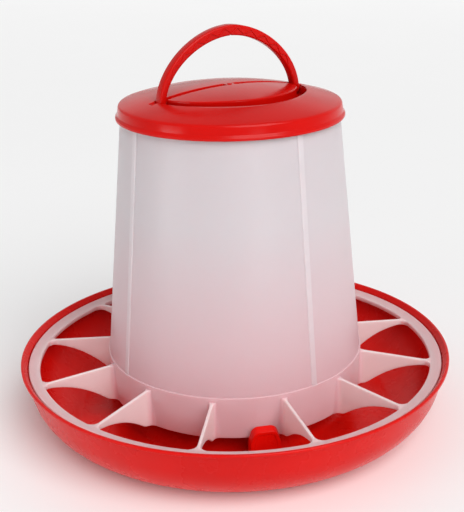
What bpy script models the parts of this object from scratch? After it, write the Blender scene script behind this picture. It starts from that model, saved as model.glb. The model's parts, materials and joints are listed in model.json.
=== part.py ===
"""Poultry feeder: a round pan, a hopper with its feed-saver grille, a lid and a folding bail.

Metres, +Z up. The origin is the centre of the pan's foot, and a fin of the grille points
along -Y. The bail is upright, the lid is on and the hopper is locked to the pan.
"""
import math

import bmesh
import bpy
from mathutils import Matrix, Vector

MM = 0.001

# Fit and finish of the mouldings.
SEGMENTS = 60
MERGE_DISTANCE = 0.01 * MM
SHARP_ANGLE = math.radians(35)
WALL = 1.8 * MM
RUNNING_GAP = 0.4 * MM
TOUCHING_GAP = 0.3 * MM

# Pan: rim, wall, foot ring and the feed cone moulded into its floor.
PAN_RADIUS = 150.0 * MM
PAN_HEIGHT = 46.0 * MM
PAN_RIM_LIP = 2.4 * MM
PAN_RIM_THICK = 2.2 * MM
PAN_RIM_UNDERCUT = 0.8 * MM
PAN_RIM_INNER_RADIUS = 148.2 * MM
PAN_WALL = 2.0 * MM
PAN_BELLY_RADIUS = 140.6 * MM
PAN_BELLY_HEIGHT = 13.0 * MM
PAN_CORNER_RADIUS = 36.0 * MM
FOOT_OUTER_RADIUS = 113.5 * MM
FOOT_INNER_RADIUS = 107.0 * MM
FOOT_HEIGHT = 1.2 * MM
CONE_BASE_RADIUS = 79.0 * MM
CONE_BASE_FILLET = 8.0 * MM
CONE_TIP_RADIUS = 7.0 * MM
CONE_TIP_HEIGHT = 52.0 * MM

# Grille: its ring lies on a ledge inside the pan's rim.
RING_OUTER_RADIUS = 144.9 * MM
RING_INNER_RADIUS = 137.2 * MM
RING_OUTER_DROP = 3.1 * MM
RING_INNER_DROP = 3.5 * MM
RING_EDGE_WIDTH = 2.0 * MM
RING_EDGE_DROP = 0.6 * MM
RING_FLANGE = 2.2 * MM
RING_LIP = 5.0 * MM
RING_LIP_THICK = 2.0 * MM
RING_SIDE_GAP = 0.6 * MM
LEDGE_WIDTH = 2.0 * MM

# Grille: fins between the collar and the ring.
FIN_COUNT = 12
FIN_THICK = 2.0 * MM
FIN_TOP_INNER_RISE = 1.0 * MM
FIN_TOP_OUTER_DROP = 2.8 * MM
FIN_END_DEPTH = 8.3 * MM
FIN_ROOT_DEPTH = 31.0 * MM
FIN_ARCH_POWER = 2.3
FIN_ARCH_STEPS = 8

# Hopper: the collar below the ledge line and the tapered tube above it.
COLLAR_BOTTOM_RADIUS = 87.6 * MM
COLLAR_TOP_RADIUS = 88.9 * MM
COLLAR_BOTTOM_DROP = 25.5 * MM
COLLAR_TOP_RISE = 3.4 * MM
LEDGE_LINE = 0.4 * MM
TUBE_BOTTOM_RADIUS = 88.0 * MM
TUBE_TAPER = 0.0975
TUBE_TOP_RISE = 171.4 * MM

# Twist lock: tongues on the pan whose hooks hold lugs on the collar.
TONGUE_COUNT = 3
TONGUE_ANGLE = math.radians(20.9)
TONGUE_INNER_RADIUS = 90.4 * MM
TONGUE_THICK = 5.5 * MM
TONGUE_BASE_WIDTH = 21.0 * MM
TONGUE_TOP_WIDTH = 15.0 * MM
TONGUE_TOP_DROP = 16.0 * MM
TONGUE_SHOULDER = 9.0 * MM
TONGUE_SHOULDER_RADIUS = 5.0 * MM
TONGUE_TOP_RADIUS = 4.0 * MM
HOOK_WIDTH = 11.0 * MM
HOOK_REACH = 1.9 * MM
HOOK_TOP_DROP = 18.0 * MM
HOOK_BOTTOM_DROP = 21.5 * MM
LUG_REACH = 1.6 * MM
LUG_TOP_DROP = 22.3 * MM

# Lid: a shallow dome with a skirt round the tube's top and a locating ring inside it.
LID_LIP_RADIUS = 75.2 * MM
LID_SHOULDER_RADIUS = 73.0 * MM
LID_SHOULDER_ROUND = 2.5 * MM
LID_LIP_RISE = 166.0 * MM
LID_SHOULDER_RISE = 175.1 * MM
LID_APEX_RISE = 186.0 * MM
LID_WALL = 2.2 * MM
LID_SKIRT_SPREAD = 0.9 * MM
LID_SKIRT_DRAFT = 0.4 * MM
LID_LIP_HEIGHT = 1.6 * MM
LID_LIP_UNDERCUT = 0.8 * MM
LID_RING_RADIUS = 69.4 * MM
LID_RING_THICK = 1.5 * MM
LID_RING_HEIGHT = 3.6 * MM
LID_DOME_STEPS = 7

# Bail: an arch on two pins, which folds forward into a curved groove in the lid.
BAIL_TURN = math.radians(39.7)
BAIL_AXIS_RISE = 178.0 * MM
BAIL_OUTER_HALF_WIDTH = 51.8 * MM
BAIL_OUTER_HEIGHT = 46.0 * MM
BAIL_INNER_HALF_WIDTH = 47.9 * MM
BAIL_INNER_HEIGHT = 39.3 * MM
BAIL_ARCH_POWER = 1.81
BAIL_DEPTH = 7.2 * MM
BAIL_CHAMFER = 1.2 * MM
BAIL_STEPS = 28
FOOT_RADIUS = 3.6 * MM
FOOT_INSET = 0.05 * MM
PIN_RADIUS = 1.5 * MM
PIN_END = 57.0 * MM
PIN_STEPS = 16
GROOVE_SIDE_GAP = 0.6 * MM
GROOVE_WALL = 1.7 * MM
GROOVE_BURIAL = 1.0 * MM
LINE_WIDTH = 3.8 * MM
LINE_DEPTH = 2.6 * MM
LINE_END = 57.7 * MM
LINE_BRIDGE = 3.0 * MM
LINE_STEPS = 8
CUT_MARGIN = 4.0 * MM

RED = (0.62, 0.012, 0.006, 1.0)
NATURAL = (0.80, 0.74, 0.74, 1.0)


def clear_scene():
    for item in list(bpy.data.objects):
        bpy.data.objects.remove(item)


def plastic(name, colour, roughness):
    material = bpy.data.materials.new(name)
    material.use_nodes = True
    shader = material.node_tree.nodes["Principled BSDF"]
    shader.inputs["Base Color"].default_value = colour
    shader.inputs["Roughness"].default_value = roughness
    shader.inputs["Metallic"].default_value = 0.0
    return material


def add_object(name, bm):
    """Turn a bmesh into a scene object, with its faces pointing out."""
    bmesh.ops.recalc_face_normals(bm, faces=bm.faces)
    mesh = bpy.data.meshes.new(name)
    bm.to_mesh(mesh)
    bm.free()
    item = bpy.data.objects.new(name, mesh)
    bpy.context.collection.objects.link(item)
    return item


def add_tool(name, bm):
    """A guide solid that a Boolean reads and that is no part of the object."""
    item = add_object(name, bm)
    item.hide_render = True
    item.display_type = "WIRE"
    return item


def boolean(item, tool, operation):
    modifier = item.modifiers.new(tool.name, "BOOLEAN")
    modifier.operation = operation
    modifier.object = tool
    modifier.solver = "EXACT"


def rounded(points, radii, steps=5):
    """An open outline with an arc of the given radius at each inner corner."""
    outline = [Vector(points[0])]
    for i in range(1, len(points) - 1):
        corner = Vector(points[i])
        radius = radii.get(i, 0.0)
        if radius == 0.0:
            outline.append(corner)
            continue
        back = (Vector(points[i - 1]) - corner).normalized()
        ahead = (Vector(points[i + 1]) - corner).normalized()
        half_angle = back.angle(ahead) / 2
        centre = corner + (back + ahead).normalized() * (radius / math.sin(half_angle))
        start = corner + back * (radius / math.tan(half_angle)) - centre
        end = corner + ahead * (radius / math.tan(half_angle)) - centre
        sweep = start.angle(end)
        for k in range(steps + 1):
            share = k / steps
            mix = start * math.sin(sweep * (1 - share)) + end * math.sin(sweep * share)
            outline.append(centre + mix / math.sin(sweep))
    outline.append(Vector(points[-1]))
    return outline


def spin_outline(bm, outline, closed=True):
    """Turn an (r, z) outline round the Z axis; points on the axis close to a pole."""
    verts = [bm.verts.new((p[0], 0.0, p[1])) for p in outline]
    edges = [bm.edges.new(pair) for pair in zip(verts, verts[1:])]
    if closed:
        edges.append(bm.edges.new((verts[-1], verts[0])))
    bmesh.ops.spin(bm, geom=verts + edges, cent=(0, 0, 0), axis=(0, 0, 1), angle=2 * math.pi,
                   steps=SEGMENTS, use_merge=True)
    bmesh.ops.remove_doubles(bm, verts=bm.verts, dist=MERGE_DISTANCE)


def prism(bm, outline, width, place):
    """Extrude an (x, z) outline to width along Y about y = 0, then move it by a matrix."""
    front = [bm.verts.new((p[0], -width / 2, p[1])) for p in outline]
    face = bm.faces.new(front)
    extruded = bmesh.ops.extrude_face_region(bm, geom=[face])
    moved = [v for v in extruded["geom"] if isinstance(v, bmesh.types.BMVert)]
    bmesh.ops.translate(bm, verts=moved, vec=(0, width, 0))
    bmesh.ops.transform(bm, matrix=place, verts=front + moved)


def turn(angle):
    return Matrix.Rotation(angle, 4, "Z")


# ---------------------------------------------------------------- pan

def ledge_height():
    return PAN_HEIGHT - RING_OUTER_DROP - RING_FLANGE - TOUCHING_GAP


def pan_outline():
    floor = FOOT_HEIGHT + PAN_WALL
    wall_top = PAN_RADIUS - PAN_RIM_LIP
    bore = RING_OUTER_RADIUS + RING_SIDE_GAP
    cone_underside = CONE_TIP_HEIGHT - PAN_WALL * 1.3
    outside = rounded([
        (0.0, cone_underside),
        (CONE_TIP_RADIUS - PAN_WALL, cone_underside),
        (CONE_BASE_RADIUS - PAN_WALL, FOOT_HEIGHT),
        (FOOT_INNER_RADIUS, FOOT_HEIGHT),
        (FOOT_INNER_RADIUS, 0.0),
        (FOOT_OUTER_RADIUS, 0.0),
        (PAN_BELLY_RADIUS, PAN_BELLY_HEIGHT),
        (wall_top, PAN_HEIGHT - PAN_RIM_THICK - PAN_RIM_UNDERCUT),
        (PAN_RADIUS, PAN_HEIGHT - PAN_RIM_THICK),
        (PAN_RADIUS, PAN_HEIGHT),
    ], {6: PAN_CORNER_RADIUS})
    inside = rounded([
        (PAN_RIM_INNER_RADIUS, PAN_HEIGHT),
        (bore, PAN_HEIGHT - RING_OUTER_DROP),
        (bore, ledge_height()),
        (bore - LEDGE_WIDTH, ledge_height()),
        (PAN_BELLY_RADIUS - PAN_WALL, PAN_BELLY_HEIGHT + PAN_WALL),
        (FOOT_OUTER_RADIUS - PAN_WALL, floor),
        (CONE_BASE_RADIUS, floor),
        (CONE_TIP_RADIUS, CONE_TIP_HEIGHT - PAN_WALL),
        (0.0, CONE_TIP_HEIGHT),
    ], {4: PAN_CORNER_RADIUS - PAN_WALL, 6: CONE_BASE_FILLET})
    return outside + inside


def lock_places(radius):
    """One matrix for each lock point, facing outward at a distance from the axis."""
    angles = [TONGUE_ANGLE + i * 2 * math.pi / TONGUE_COUNT for i in range(TONGUE_COUNT)]
    return [turn(angle) @ Matrix.Translation((0, -radius, 0)) for angle in angles]


def bar(low, high):
    """A rectangle as wide as the hook, between two heights."""
    half = HOOK_WIDTH / 2
    return [(-half, low), (half, low), (half, high), (-half, high)]


def tongue_bmesh():
    """Tabs standing on the pan's floor, just outside the collar."""
    bm = bmesh.new()
    base = FOOT_HEIGHT + PAN_WALL / 2
    top = PAN_HEIGHT - TONGUE_TOP_DROP
    half_base = TONGUE_BASE_WIDTH / 2
    half_top = TONGUE_TOP_WIDTH / 2
    tab = rounded([(0.0, base), (half_base, base), (half_base, top - TONGUE_SHOULDER),
                   (half_top, top), (0.0, top)],
                  {2: TONGUE_SHOULDER_RADIUS, 3: TONGUE_TOP_RADIUS}, steps=3)
    tab += [Vector((-p[0], p[1])) for p in reversed(tab[1:-1])]
    for place in lock_places(TONGUE_INNER_RADIUS + TONGUE_THICK / 2):
        prism(bm, tab, TONGUE_THICK, place)
    return bm


def hook_bmesh():
    """Hooks on the tabs' inner faces, which lie over the collar's lugs."""
    bm = bmesh.new()
    outline = bar(PAN_HEIGHT - HOOK_BOTTOM_DROP, PAN_HEIGHT - HOOK_TOP_DROP)
    length = HOOK_REACH + TONGUE_THICK / 2
    for place in lock_places(TONGUE_INNER_RADIUS - HOOK_REACH + length / 2):
        prism(bm, outline, length, place)
    return bm


def make_pan(material):
    bm = bmesh.new()
    spin_outline(bm, pan_outline(), closed=False)
    pan = add_object("pan", bm)
    boolean(pan, add_tool("tongue_tool", tongue_bmesh()), "UNION")
    boolean(pan, add_tool("hook_tool", hook_bmesh()), "UNION")
    finish(pan, material)


# ---------------------------------------------------------------- hopper

def tube_radius(rise):
    return TUBE_BOTTOM_RADIUS - TUBE_TAPER * (rise - COLLAR_TOP_RISE)


def tube_outline():
    bottom = PAN_HEIGHT - COLLAR_BOTTOM_DROP
    ledge = PAN_HEIGHT + COLLAR_TOP_RISE
    top = PAN_HEIGHT + TUBE_TOP_RISE
    top_radius = tube_radius(TUBE_TOP_RISE)
    return [
        (COLLAR_BOTTOM_RADIUS, bottom),
        (COLLAR_TOP_RADIUS, ledge),
        (TUBE_BOTTOM_RADIUS, ledge + LEDGE_LINE),
        (top_radius, top),
        (top_radius - WALL, top),
        (TUBE_BOTTOM_RADIUS - WALL, ledge + LEDGE_LINE),
        (COLLAR_BOTTOM_RADIUS - WALL, bottom),
    ]


def ring_outline():
    outer_top = PAN_HEIGHT - RING_OUTER_DROP
    inner_top = PAN_HEIGHT - RING_INNER_DROP
    flange_bottom = outer_top - RING_FLANGE
    lip = RING_INNER_RADIUS + RING_LIP_THICK
    return [
        (RING_OUTER_RADIUS, flange_bottom),
        (RING_OUTER_RADIUS, outer_top),
        (RING_INNER_RADIUS + RING_EDGE_WIDTH, inner_top),
        (RING_INNER_RADIUS, inner_top - RING_EDGE_DROP),
        (RING_INNER_RADIUS, outer_top - RING_LIP),
        (lip, outer_top - RING_LIP),
        (lip, flange_bottom),
    ]


def fin_outline():
    """Straight top edge, and a lower edge that falls in an arch towards the collar."""
    root = COLLAR_BOTTOM_RADIUS - WALL / 2
    end = RING_INNER_RADIUS + RING_LIP_THICK / 2
    deepest = COLLAR_BOTTOM_DROP - TOUCHING_GAP
    outline = [(root, PAN_HEIGHT + FIN_TOP_INNER_RISE), (end, PAN_HEIGHT - FIN_TOP_OUTER_DROP)]
    for i in range(FIN_ARCH_STEPS + 1):
        share = i / FIN_ARCH_STEPS
        depth = FIN_END_DEPTH + (FIN_ROOT_DEPTH - FIN_END_DEPTH) * share ** FIN_ARCH_POWER
        outline.append((end + (root - end) * share, PAN_HEIGHT - min(depth, deepest)))
    return outline


def fin_bmesh():
    bm = bmesh.new()
    for i in range(FIN_COUNT):
        prism(bm, fin_outline(), FIN_THICK, turn(i * 2 * math.pi / FIN_COUNT - math.pi / 2))
    return bm


def lug_bmesh():
    """Lugs on the collar that sit under the pan's hooks."""
    bm = bmesh.new()
    outline = bar(PAN_HEIGHT - COLLAR_BOTTOM_DROP + TOUCHING_GAP, PAN_HEIGHT - LUG_TOP_DROP)
    length = LUG_REACH + WALL / 2
    for place in lock_places(COLLAR_BOTTOM_RADIUS + LUG_REACH - length / 2):
        prism(bm, outline, length, place)
    return bm


def make_hopper(material):
    bm = bmesh.new()
    spin_outline(bm, tube_outline())
    spin_outline(bm, ring_outline())
    hopper = add_object("hopper", bm)
    boolean(hopper, add_tool("fin_tool", fin_bmesh()), "UNION")
    boolean(hopper, add_tool("lug_tool", lug_bmesh()), "UNION")
    finish(hopper, material)


# ---------------------------------------------------------------- lid

def dome(radius):
    """Height of the lid's top surface at a distance from its centre."""
    drop = LID_APEX_RISE - LID_SHOULDER_RISE
    return PAN_HEIGHT + LID_APEX_RISE - drop * (radius / LID_SHOULDER_RADIUS) ** 2


def lid_outline():
    seat = PAN_HEIGHT + TUBE_TOP_RISE + TOUCHING_GAP
    shoulder = LID_SHOULDER_RADIUS
    lip_bottom = PAN_HEIGHT + LID_LIP_RISE
    lip_top = lip_bottom + LID_LIP_HEIGHT
    ring_inner = LID_RING_RADIUS - LID_RING_THICK
    steps = LID_DOME_STEPS
    top = [(shoulder * i / steps, dome(shoulder * i / steps)) for i in range(steps)]
    skirt = rounded([
        top[-1],
        (shoulder, dome(shoulder)),
        (shoulder + LID_SKIRT_SPREAD, lip_top + LID_LIP_UNDERCUT),
        (LID_LIP_RADIUS, lip_top),
        (LID_LIP_RADIUS, lip_bottom),
    ], {1: LID_SHOULDER_ROUND}, steps=4)
    inside = [
        (shoulder, lip_bottom),
        (shoulder - LID_SKIRT_DRAFT, seat),
        (LID_RING_RADIUS, seat),
        (LID_RING_RADIUS, seat - LID_RING_HEIGHT),
        (ring_inner, seat - LID_RING_HEIGHT),
    ]
    under = [(ring_inner * i / steps, dome(ring_inner * i / steps) - LID_WALL)
             for i in range(steps, -1, -1)]
    return top[:-1] + skirt + inside + under


def arch_point(t, side, margin=0.0):
    """Point (u, v) on the bail's inner edge (side -1) or outer edge (side 1), with a margin."""
    share = (1 + side) / 2
    width = BAIL_INNER_HALF_WIDTH + (BAIL_OUTER_HALF_WIDTH - BAIL_INNER_HALF_WIDTH) * share
    height = BAIL_INNER_HEIGHT + (BAIL_OUTER_HEIGHT - BAIL_INNER_HEIGHT) * share
    power = 2 / BAIL_ARCH_POWER
    c = math.cos(t)
    s = max(math.sin(t), 0.0)
    u = (width + margin * side) * math.copysign(abs(c) ** power, c)
    return Vector((u, (height + margin * side) * s ** power))


def arch_angles():
    return [math.pi * i / BAIL_STEPS for i in range(BAIL_STEPS + 1)]


def bridge_rows(bm, rows):
    """Skin a row of equal rings of corners, and close both ends."""
    for before, after in zip(rows, rows[1:]):
        for k in range(len(before)):
            m = (k + 1) % len(before)
            bm.faces.new((before[k], before[m], after[m], after[k]))
    bm.faces.new(rows[0])
    bm.faces.new(rows[-1])


def groove_band(margin, bottom, top_offset):
    """Solid along the folded bail's path, whose top follows the dome at an offset."""
    bm = bmesh.new()
    back = FOOT_RADIUS + margin
    stations = [(0.0, back)] + [(t, 0.0) for t in arch_angles()] + [(math.pi, back)]
    rows = []
    for t, behind in stations:
        low = []
        high = []
        for side in (-1, 1):
            point = arch_point(t, side, margin)
            u, v = point.x, behind - point.y
            low.append(bm.verts.new((u, v, bottom)))
            high.append(bm.verts.new((u, v, dome(math.hypot(u, v)) + top_offset)))
        rows.append((low[0], high[0], high[1], low[1]))
    bridge_rows(bm, rows)
    bmesh.ops.transform(bm, matrix=turn(BAIL_TURN), verts=bm.verts)
    return bm


def line_blocks(spans, width, depth, top_offset):
    """Straight blocks along the bail's axis, deep enough at their ends for the pins."""
    bm = bmesh.new()
    pin_floor = PAN_HEIGHT + BAIL_AXIS_RISE - PIN_RADIUS - TOUCHING_GAP - (depth - LINE_DEPTH)
    for start, end in spans:
        stops = [start + (end - start) * i / LINE_STEPS for i in range(LINE_STEPS + 1)]
        upper = [(u, dome(abs(u)) + top_offset) for u in stops]
        lower = [(u, min(dome(abs(u)) - depth, pin_floor) if abs(u) > BAIL_INNER_HALF_WIDTH
                  else dome(abs(u)) - depth) for u in reversed(stops)]
        prism(bm, upper + lower, width, turn(BAIL_TURN))
    return bm


def make_lid(material):
    bm = bmesh.new()
    spin_outline(bm, lid_outline(), closed=False)
    lid = add_object("lid", bm)
    floor = PAN_HEIGHT + BAIL_AXIS_RISE - FOOT_RADIUS - RUNNING_GAP
    channel = groove_band(GROOVE_SIDE_GAP + GROOVE_WALL, floor - GROOVE_WALL, -GROOVE_BURIAL)
    boolean(lid, add_tool("channel_tool", channel), "UNION")
    backing_end = LINE_END + GROOVE_WALL
    backing = line_blocks([(-backing_end, backing_end)], LINE_WIDTH + 2 * GROOVE_WALL,
                          LINE_DEPTH + GROOVE_WALL, -GROOVE_BURIAL)
    boolean(lid, add_tool("backing_tool", backing), "UNION")
    groove = groove_band(GROOVE_SIDE_GAP, floor, CUT_MARGIN)
    boolean(lid, add_tool("groove_tool", groove), "DIFFERENCE")
    line = line_blocks([(-LINE_END, -LINE_BRIDGE), (LINE_BRIDGE, LINE_END)], LINE_WIDTH,
                       LINE_DEPTH, CUT_MARGIN)
    boolean(lid, add_tool("line_tool", line), "DIFFERENCE")
    finish(lid, material)


# ---------------------------------------------------------------- bail

def bail_bmesh():
    """The arch, swept with a chamfered section and standing in the XZ plane."""
    bm = bmesh.new()
    half = BAIL_DEPTH / 2
    cut = BAIL_CHAMFER
    corners = [(1, 0, half - cut), (1, cut, half), (-1, cut, half), (-1, 0, half - cut),
               (-1, 0, cut - half), (-1, cut, -half), (1, cut, -half), (1, 0, cut - half)]
    rows = []
    for t in arch_angles():
        row = []
        for side, inset, depth in corners:
            point = arch_point(t, side, -inset)
            row.append(bm.verts.new((point.x, depth, point.y)))
        rows.append(row)
    bridge_rows(bm, rows)
    return bm


def pivot_bmesh():
    """Both feet: a round boss at the leg's end and a pin that points outward."""
    bm = bmesh.new()
    inner = BAIL_INNER_HALF_WIDTH + FOOT_INSET
    outer = BAIL_OUTER_HALF_WIDTH - FOOT_INSET
    outline = [(0.0, inner), (FOOT_RADIUS, inner), (FOOT_RADIUS, outer), (PIN_RADIUS, outer),
               (PIN_RADIUS, PIN_END), (0.0, PIN_END)]
    for side in (1, -1):
        verts = [bm.verts.new((side * u, 0.0, r)) for r, u in outline]
        edges = [bm.edges.new(pair) for pair in zip(verts, verts[1:])]
        bmesh.ops.spin(bm, geom=verts + edges, cent=(0, 0, 0), axis=(1, 0, 0), angle=2 * math.pi,
                       steps=PIN_STEPS, use_merge=True)
    bmesh.ops.remove_doubles(bm, verts=bm.verts, dist=MERGE_DISTANCE)
    return bm


def make_bail(material):
    place = Matrix.Translation((0, 0, PAN_HEIGHT + BAIL_AXIS_RISE)) @ turn(BAIL_TURN)
    bail = add_object("bail_handle", bail_bmesh())
    feet = add_tool("pivot_tool", pivot_bmesh())
    for item in (bail, feet):
        item.matrix_world = place
    boolean(bail, feet, "UNION")
    finish(bail, material)


def finish(item, material):
    item.data.materials.append(material)
    item.data.shade_smooth()
    item.data.set_sharp_from_angle(angle=SHARP_ANGLE)


def main():
    clear_scene()
    make_pan(plastic("pan_red", RED, 0.25))
    make_hopper(plastic("hopper_natural", NATURAL, 0.35))
    make_lid(plastic("lid_red", RED, 0.25))
    make_bail(plastic("bail_red", RED, 0.3))


main()
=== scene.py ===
"""Detailed mouldings, materials and studio for the poultry feeder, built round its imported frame.

Metres, +Z up, in the frame's own axes: the origin is the centre of the pan's foot, and a fin of
the grille points along -Y. Each of the four mouldings replaces the CAD node of the same part.
"""
import math
import bmesh
import bpy
from bpy.props import FloatProperty, FloatVectorProperty, IntProperty, PointerProperty
from mathutils import Matrix, Vector
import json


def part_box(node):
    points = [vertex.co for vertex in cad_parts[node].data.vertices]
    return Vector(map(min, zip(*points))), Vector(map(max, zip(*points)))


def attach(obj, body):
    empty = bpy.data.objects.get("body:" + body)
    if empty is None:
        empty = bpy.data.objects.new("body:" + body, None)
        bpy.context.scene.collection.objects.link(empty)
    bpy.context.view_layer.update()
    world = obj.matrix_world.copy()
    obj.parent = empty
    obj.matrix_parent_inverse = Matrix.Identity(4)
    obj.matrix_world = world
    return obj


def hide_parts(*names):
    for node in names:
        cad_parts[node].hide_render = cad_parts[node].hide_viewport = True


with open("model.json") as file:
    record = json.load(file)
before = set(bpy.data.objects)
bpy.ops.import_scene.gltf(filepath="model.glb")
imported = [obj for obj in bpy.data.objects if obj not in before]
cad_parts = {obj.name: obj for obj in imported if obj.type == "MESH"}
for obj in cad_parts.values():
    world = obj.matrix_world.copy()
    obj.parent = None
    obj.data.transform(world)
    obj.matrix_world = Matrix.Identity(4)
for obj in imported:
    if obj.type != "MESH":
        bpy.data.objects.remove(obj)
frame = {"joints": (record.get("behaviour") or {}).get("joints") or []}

bl_info = {
    "name": "Poultry Feeder",
    "version": (1, 0, 0),
    "blender": (4, 5, 0),
    "location": "View3D > Sidebar > Feeder",
    "description": "Builds the mouldings of a poultry feeder round its packed frame",
    "category": "Object",
}

MM = 0.001
MERGE_DISTANCE = 0.004 * MM
SHARP_ANGLE = math.radians(32)

PAN_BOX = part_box("pan")
HOPPER_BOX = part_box("hopper")
LID_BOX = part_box("lid")
BAIL_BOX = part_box("bail_handle")
BAIL_JOINT = next(j for j in frame["joints"] if j["name"] == "bail_fold")
BAIL_AXIS_HEIGHT = BAIL_JOINT["pos_m"][2]
BAIL_TURN = math.atan2(BAIL_JOINT["axis"][1], BAIL_JOINT["axis"][0])


def length(name, description, default):
    """A length in metres."""
    return FloatProperty(name=name, description=description, default=default, unit="LENGTH",
                         subtype="DISTANCE", precision=5)


def degrees(name, description, default):
    """An angle whose default is given in degrees."""
    return FloatProperty(name=name, description=description, default=math.radians(default),
                         unit="ROTATION", subtype="ANGLE")


def colour(name, description, default):
    """A linear colour with its alpha."""
    return FloatVectorProperty(name=name, description=description, default=default, size=4,
                               subtype="COLOR", min=0.0, max=1.0)


# ---------------------------------------------------------------- settings

class FeederPanSettings(bpy.types.PropertyGroup):
    radius: length("Rim radius", "Outer radius of the pan's rim", PAN_BOX[1].x)
    rim_height: length("Rim height", "Height of the rim above the floor", 46.0 * MM)
    rim_reach: length("Rim reach", "How far the rim stands out past the wall", 2.4 * MM)
    rim_thickness: length("Rim thickness", "Thickness of the rim's flange", 2.2 * MM)
    rim_land: length("Rim land", "Width of the rim's top", 1.8 * MM)
    ring_bore: length("Ring bore", "Radius of the seat round the grille's ring", 145.5 * MM)
    ring_seat: length("Ring seat", "Height of the seat's top edge", 42.9 * MM)
    ledge_height: length("Ledge height", "Height of the ledge that carries the ring", 40.4 * MM)
    ledge_width: length("Ledge width", "Width of the ledge that carries the ring", 2.0 * MM)
    wall: length("Wall", "Wall thickness", 2.0 * MM)
    belly_radius: length("Belly radius", "Radius where the side turns in", 140.6 * MM)
    belly_height: length("Belly height", "Height where the side turns in", 13.0 * MM)
    belly_round: length("Belly rounding", "Radius of the turn from side to floor", 36.0 * MM)
    foot_radius: length("Foot radius", "Outer radius of the foot ring", 113.5 * MM)
    foot_width: length("Foot width", "Width of the foot ring", 6.5 * MM)
    foot_height: length("Foot height", "Height of the foot ring", 1.2 * MM)
    cone_radius: length("Cone radius", "Radius of the feed cone's base", 79.0 * MM)
    cone_tip: length("Cone tip", "Radius of the feed cone's flat tip", 7.0 * MM)
    cone_height: length("Cone height", "Height of the feed cone", PAN_BOX[1].z)
    cone_fillet: length("Cone fillet", "Radius between the cone and the floor", 8.0 * MM)


class FeederTongueSettings(bpy.types.PropertyGroup):
    count: IntProperty(name="Tongues", description="Number of locking tongues", default=3, min=1)
    angle: degrees("First tongue", "Turn of the first tongue from -Y", 20.9)
    radius: length("Tongue radius", "Distance of the tongues' inner faces from the axis", 90.4 * MM)
    thickness: length("Tongue thickness", "Thickness of a tongue", 5.5 * MM)
    base_width: length("Tongue base width", "Width of a tongue at the floor", 21.0 * MM)
    top_width: length("Tongue top width", "Width of a tongue at its top", 15.0 * MM)
    top_height: length("Tongue top height", "Height of a tongue's top", 30.0 * MM)
    panel_depth: length("Panel depth", "Depth of the panel sunk in a tongue's face", 0.5 * MM)
    hook_reach: length("Hook reach", "How far the hook stands in past the tongue", 1.9 * MM)
    hook_width: length("Hook width", "Width of the hook", 11.0 * MM)
    hook_bottom: length("Hook underside", "Height of the hook's underside", 24.5 * MM)
    hook_top: length("Hook top", "Height of the hook's top", 28.0 * MM)


class FeederHopperSettings(bpy.types.PropertyGroup):
    collar_radius: length("Collar radius", "Radius of the collar's lower edge", 87.6 * MM)
    collar_top_radius: length("Collar top radius", "Radius at the parting line", 88.9 * MM)
    collar_bottom: length("Collar bottom", "Height of the collar's lower edge", HOPPER_BOX[0].z)
    ledge_height: length("Parting line", "Height of the mould's parting line", 49.4 * MM)
    tube_radius: length("Tube radius", "Radius of the tube above the parting line", 88.0 * MM)
    top_radius: length("Top radius", "Radius of the tube's open top", 71.58 * MM)
    top_height: length("Top height", "Height of the tube's open top", HOPPER_BOX[1].z)
    wall: length("Wall", "Wall thickness", 1.8 * MM)
    rib_count: IntProperty(name="Ribs", description="Upright ribs on the tube", default=4, min=0)
    rib_angle: degrees("First rib", "Turn of the first rib from -Y", 45.0)
    rib_width: length("Rib width", "Width of an upright rib", 4.4 * MM)
    rib_height: length("Rib height", "How far a rib stands out", 0.6 * MM)
    lug_reach: length("Lug reach", "How far a lug stands out from the collar", 1.6 * MM)


class FeederGrilleSettings(bpy.types.PropertyGroup):
    ring_radius: length("Ring radius", "Outer radius of the grille's ring", HOPPER_BOX[1].x)
    ring_inner: length("Ring inner radius", "Inner radius of the grille's ring", 137.2 * MM)
    ring_top: length("Ring top", "Height of the ring's outer edge", 42.9 * MM)
    ring_sink: length("Ring sink", "Drop from the ring's outer edge to its inner one", 1.6 * MM)
    flange: length("Flange", "Thickness of the ring's flange", 2.2 * MM)
    lip: length("Lip", "Depth of the lip inside the ring", 5.0 * MM)
    lip_thickness: length("Lip thickness", "Thickness of the lip inside the ring", 2.0 * MM)
    fins: IntProperty(name="Fins", description="Number of fins", default=12, min=3)
    fin_thickness: length("Fin thickness", "Thickness of a fin", 2.0 * MM)
    fin_top_inner: length("Fin top at the collar", "Height of a fin's top at the collar", 47.0 * MM)
    fin_top_outer: length("Fin top at the ring", "Height of a fin's top at the ring", 41.35 * MM)
    fin_end_depth: length("Fin depth at the ring", "Depth below the rim at the ring", 8.3 * MM)
    fin_root_depth: length("Fin depth at the collar", "Depth below the rim at the collar", 31.0 * MM)
    fin_ring_flare: length("Ring flare", "Radius between a fin and the ring", 5.0 * MM)
    fin_root_flare: length("Root flare", "Radius between a fin and the collar", 4.5 * MM)


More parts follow.
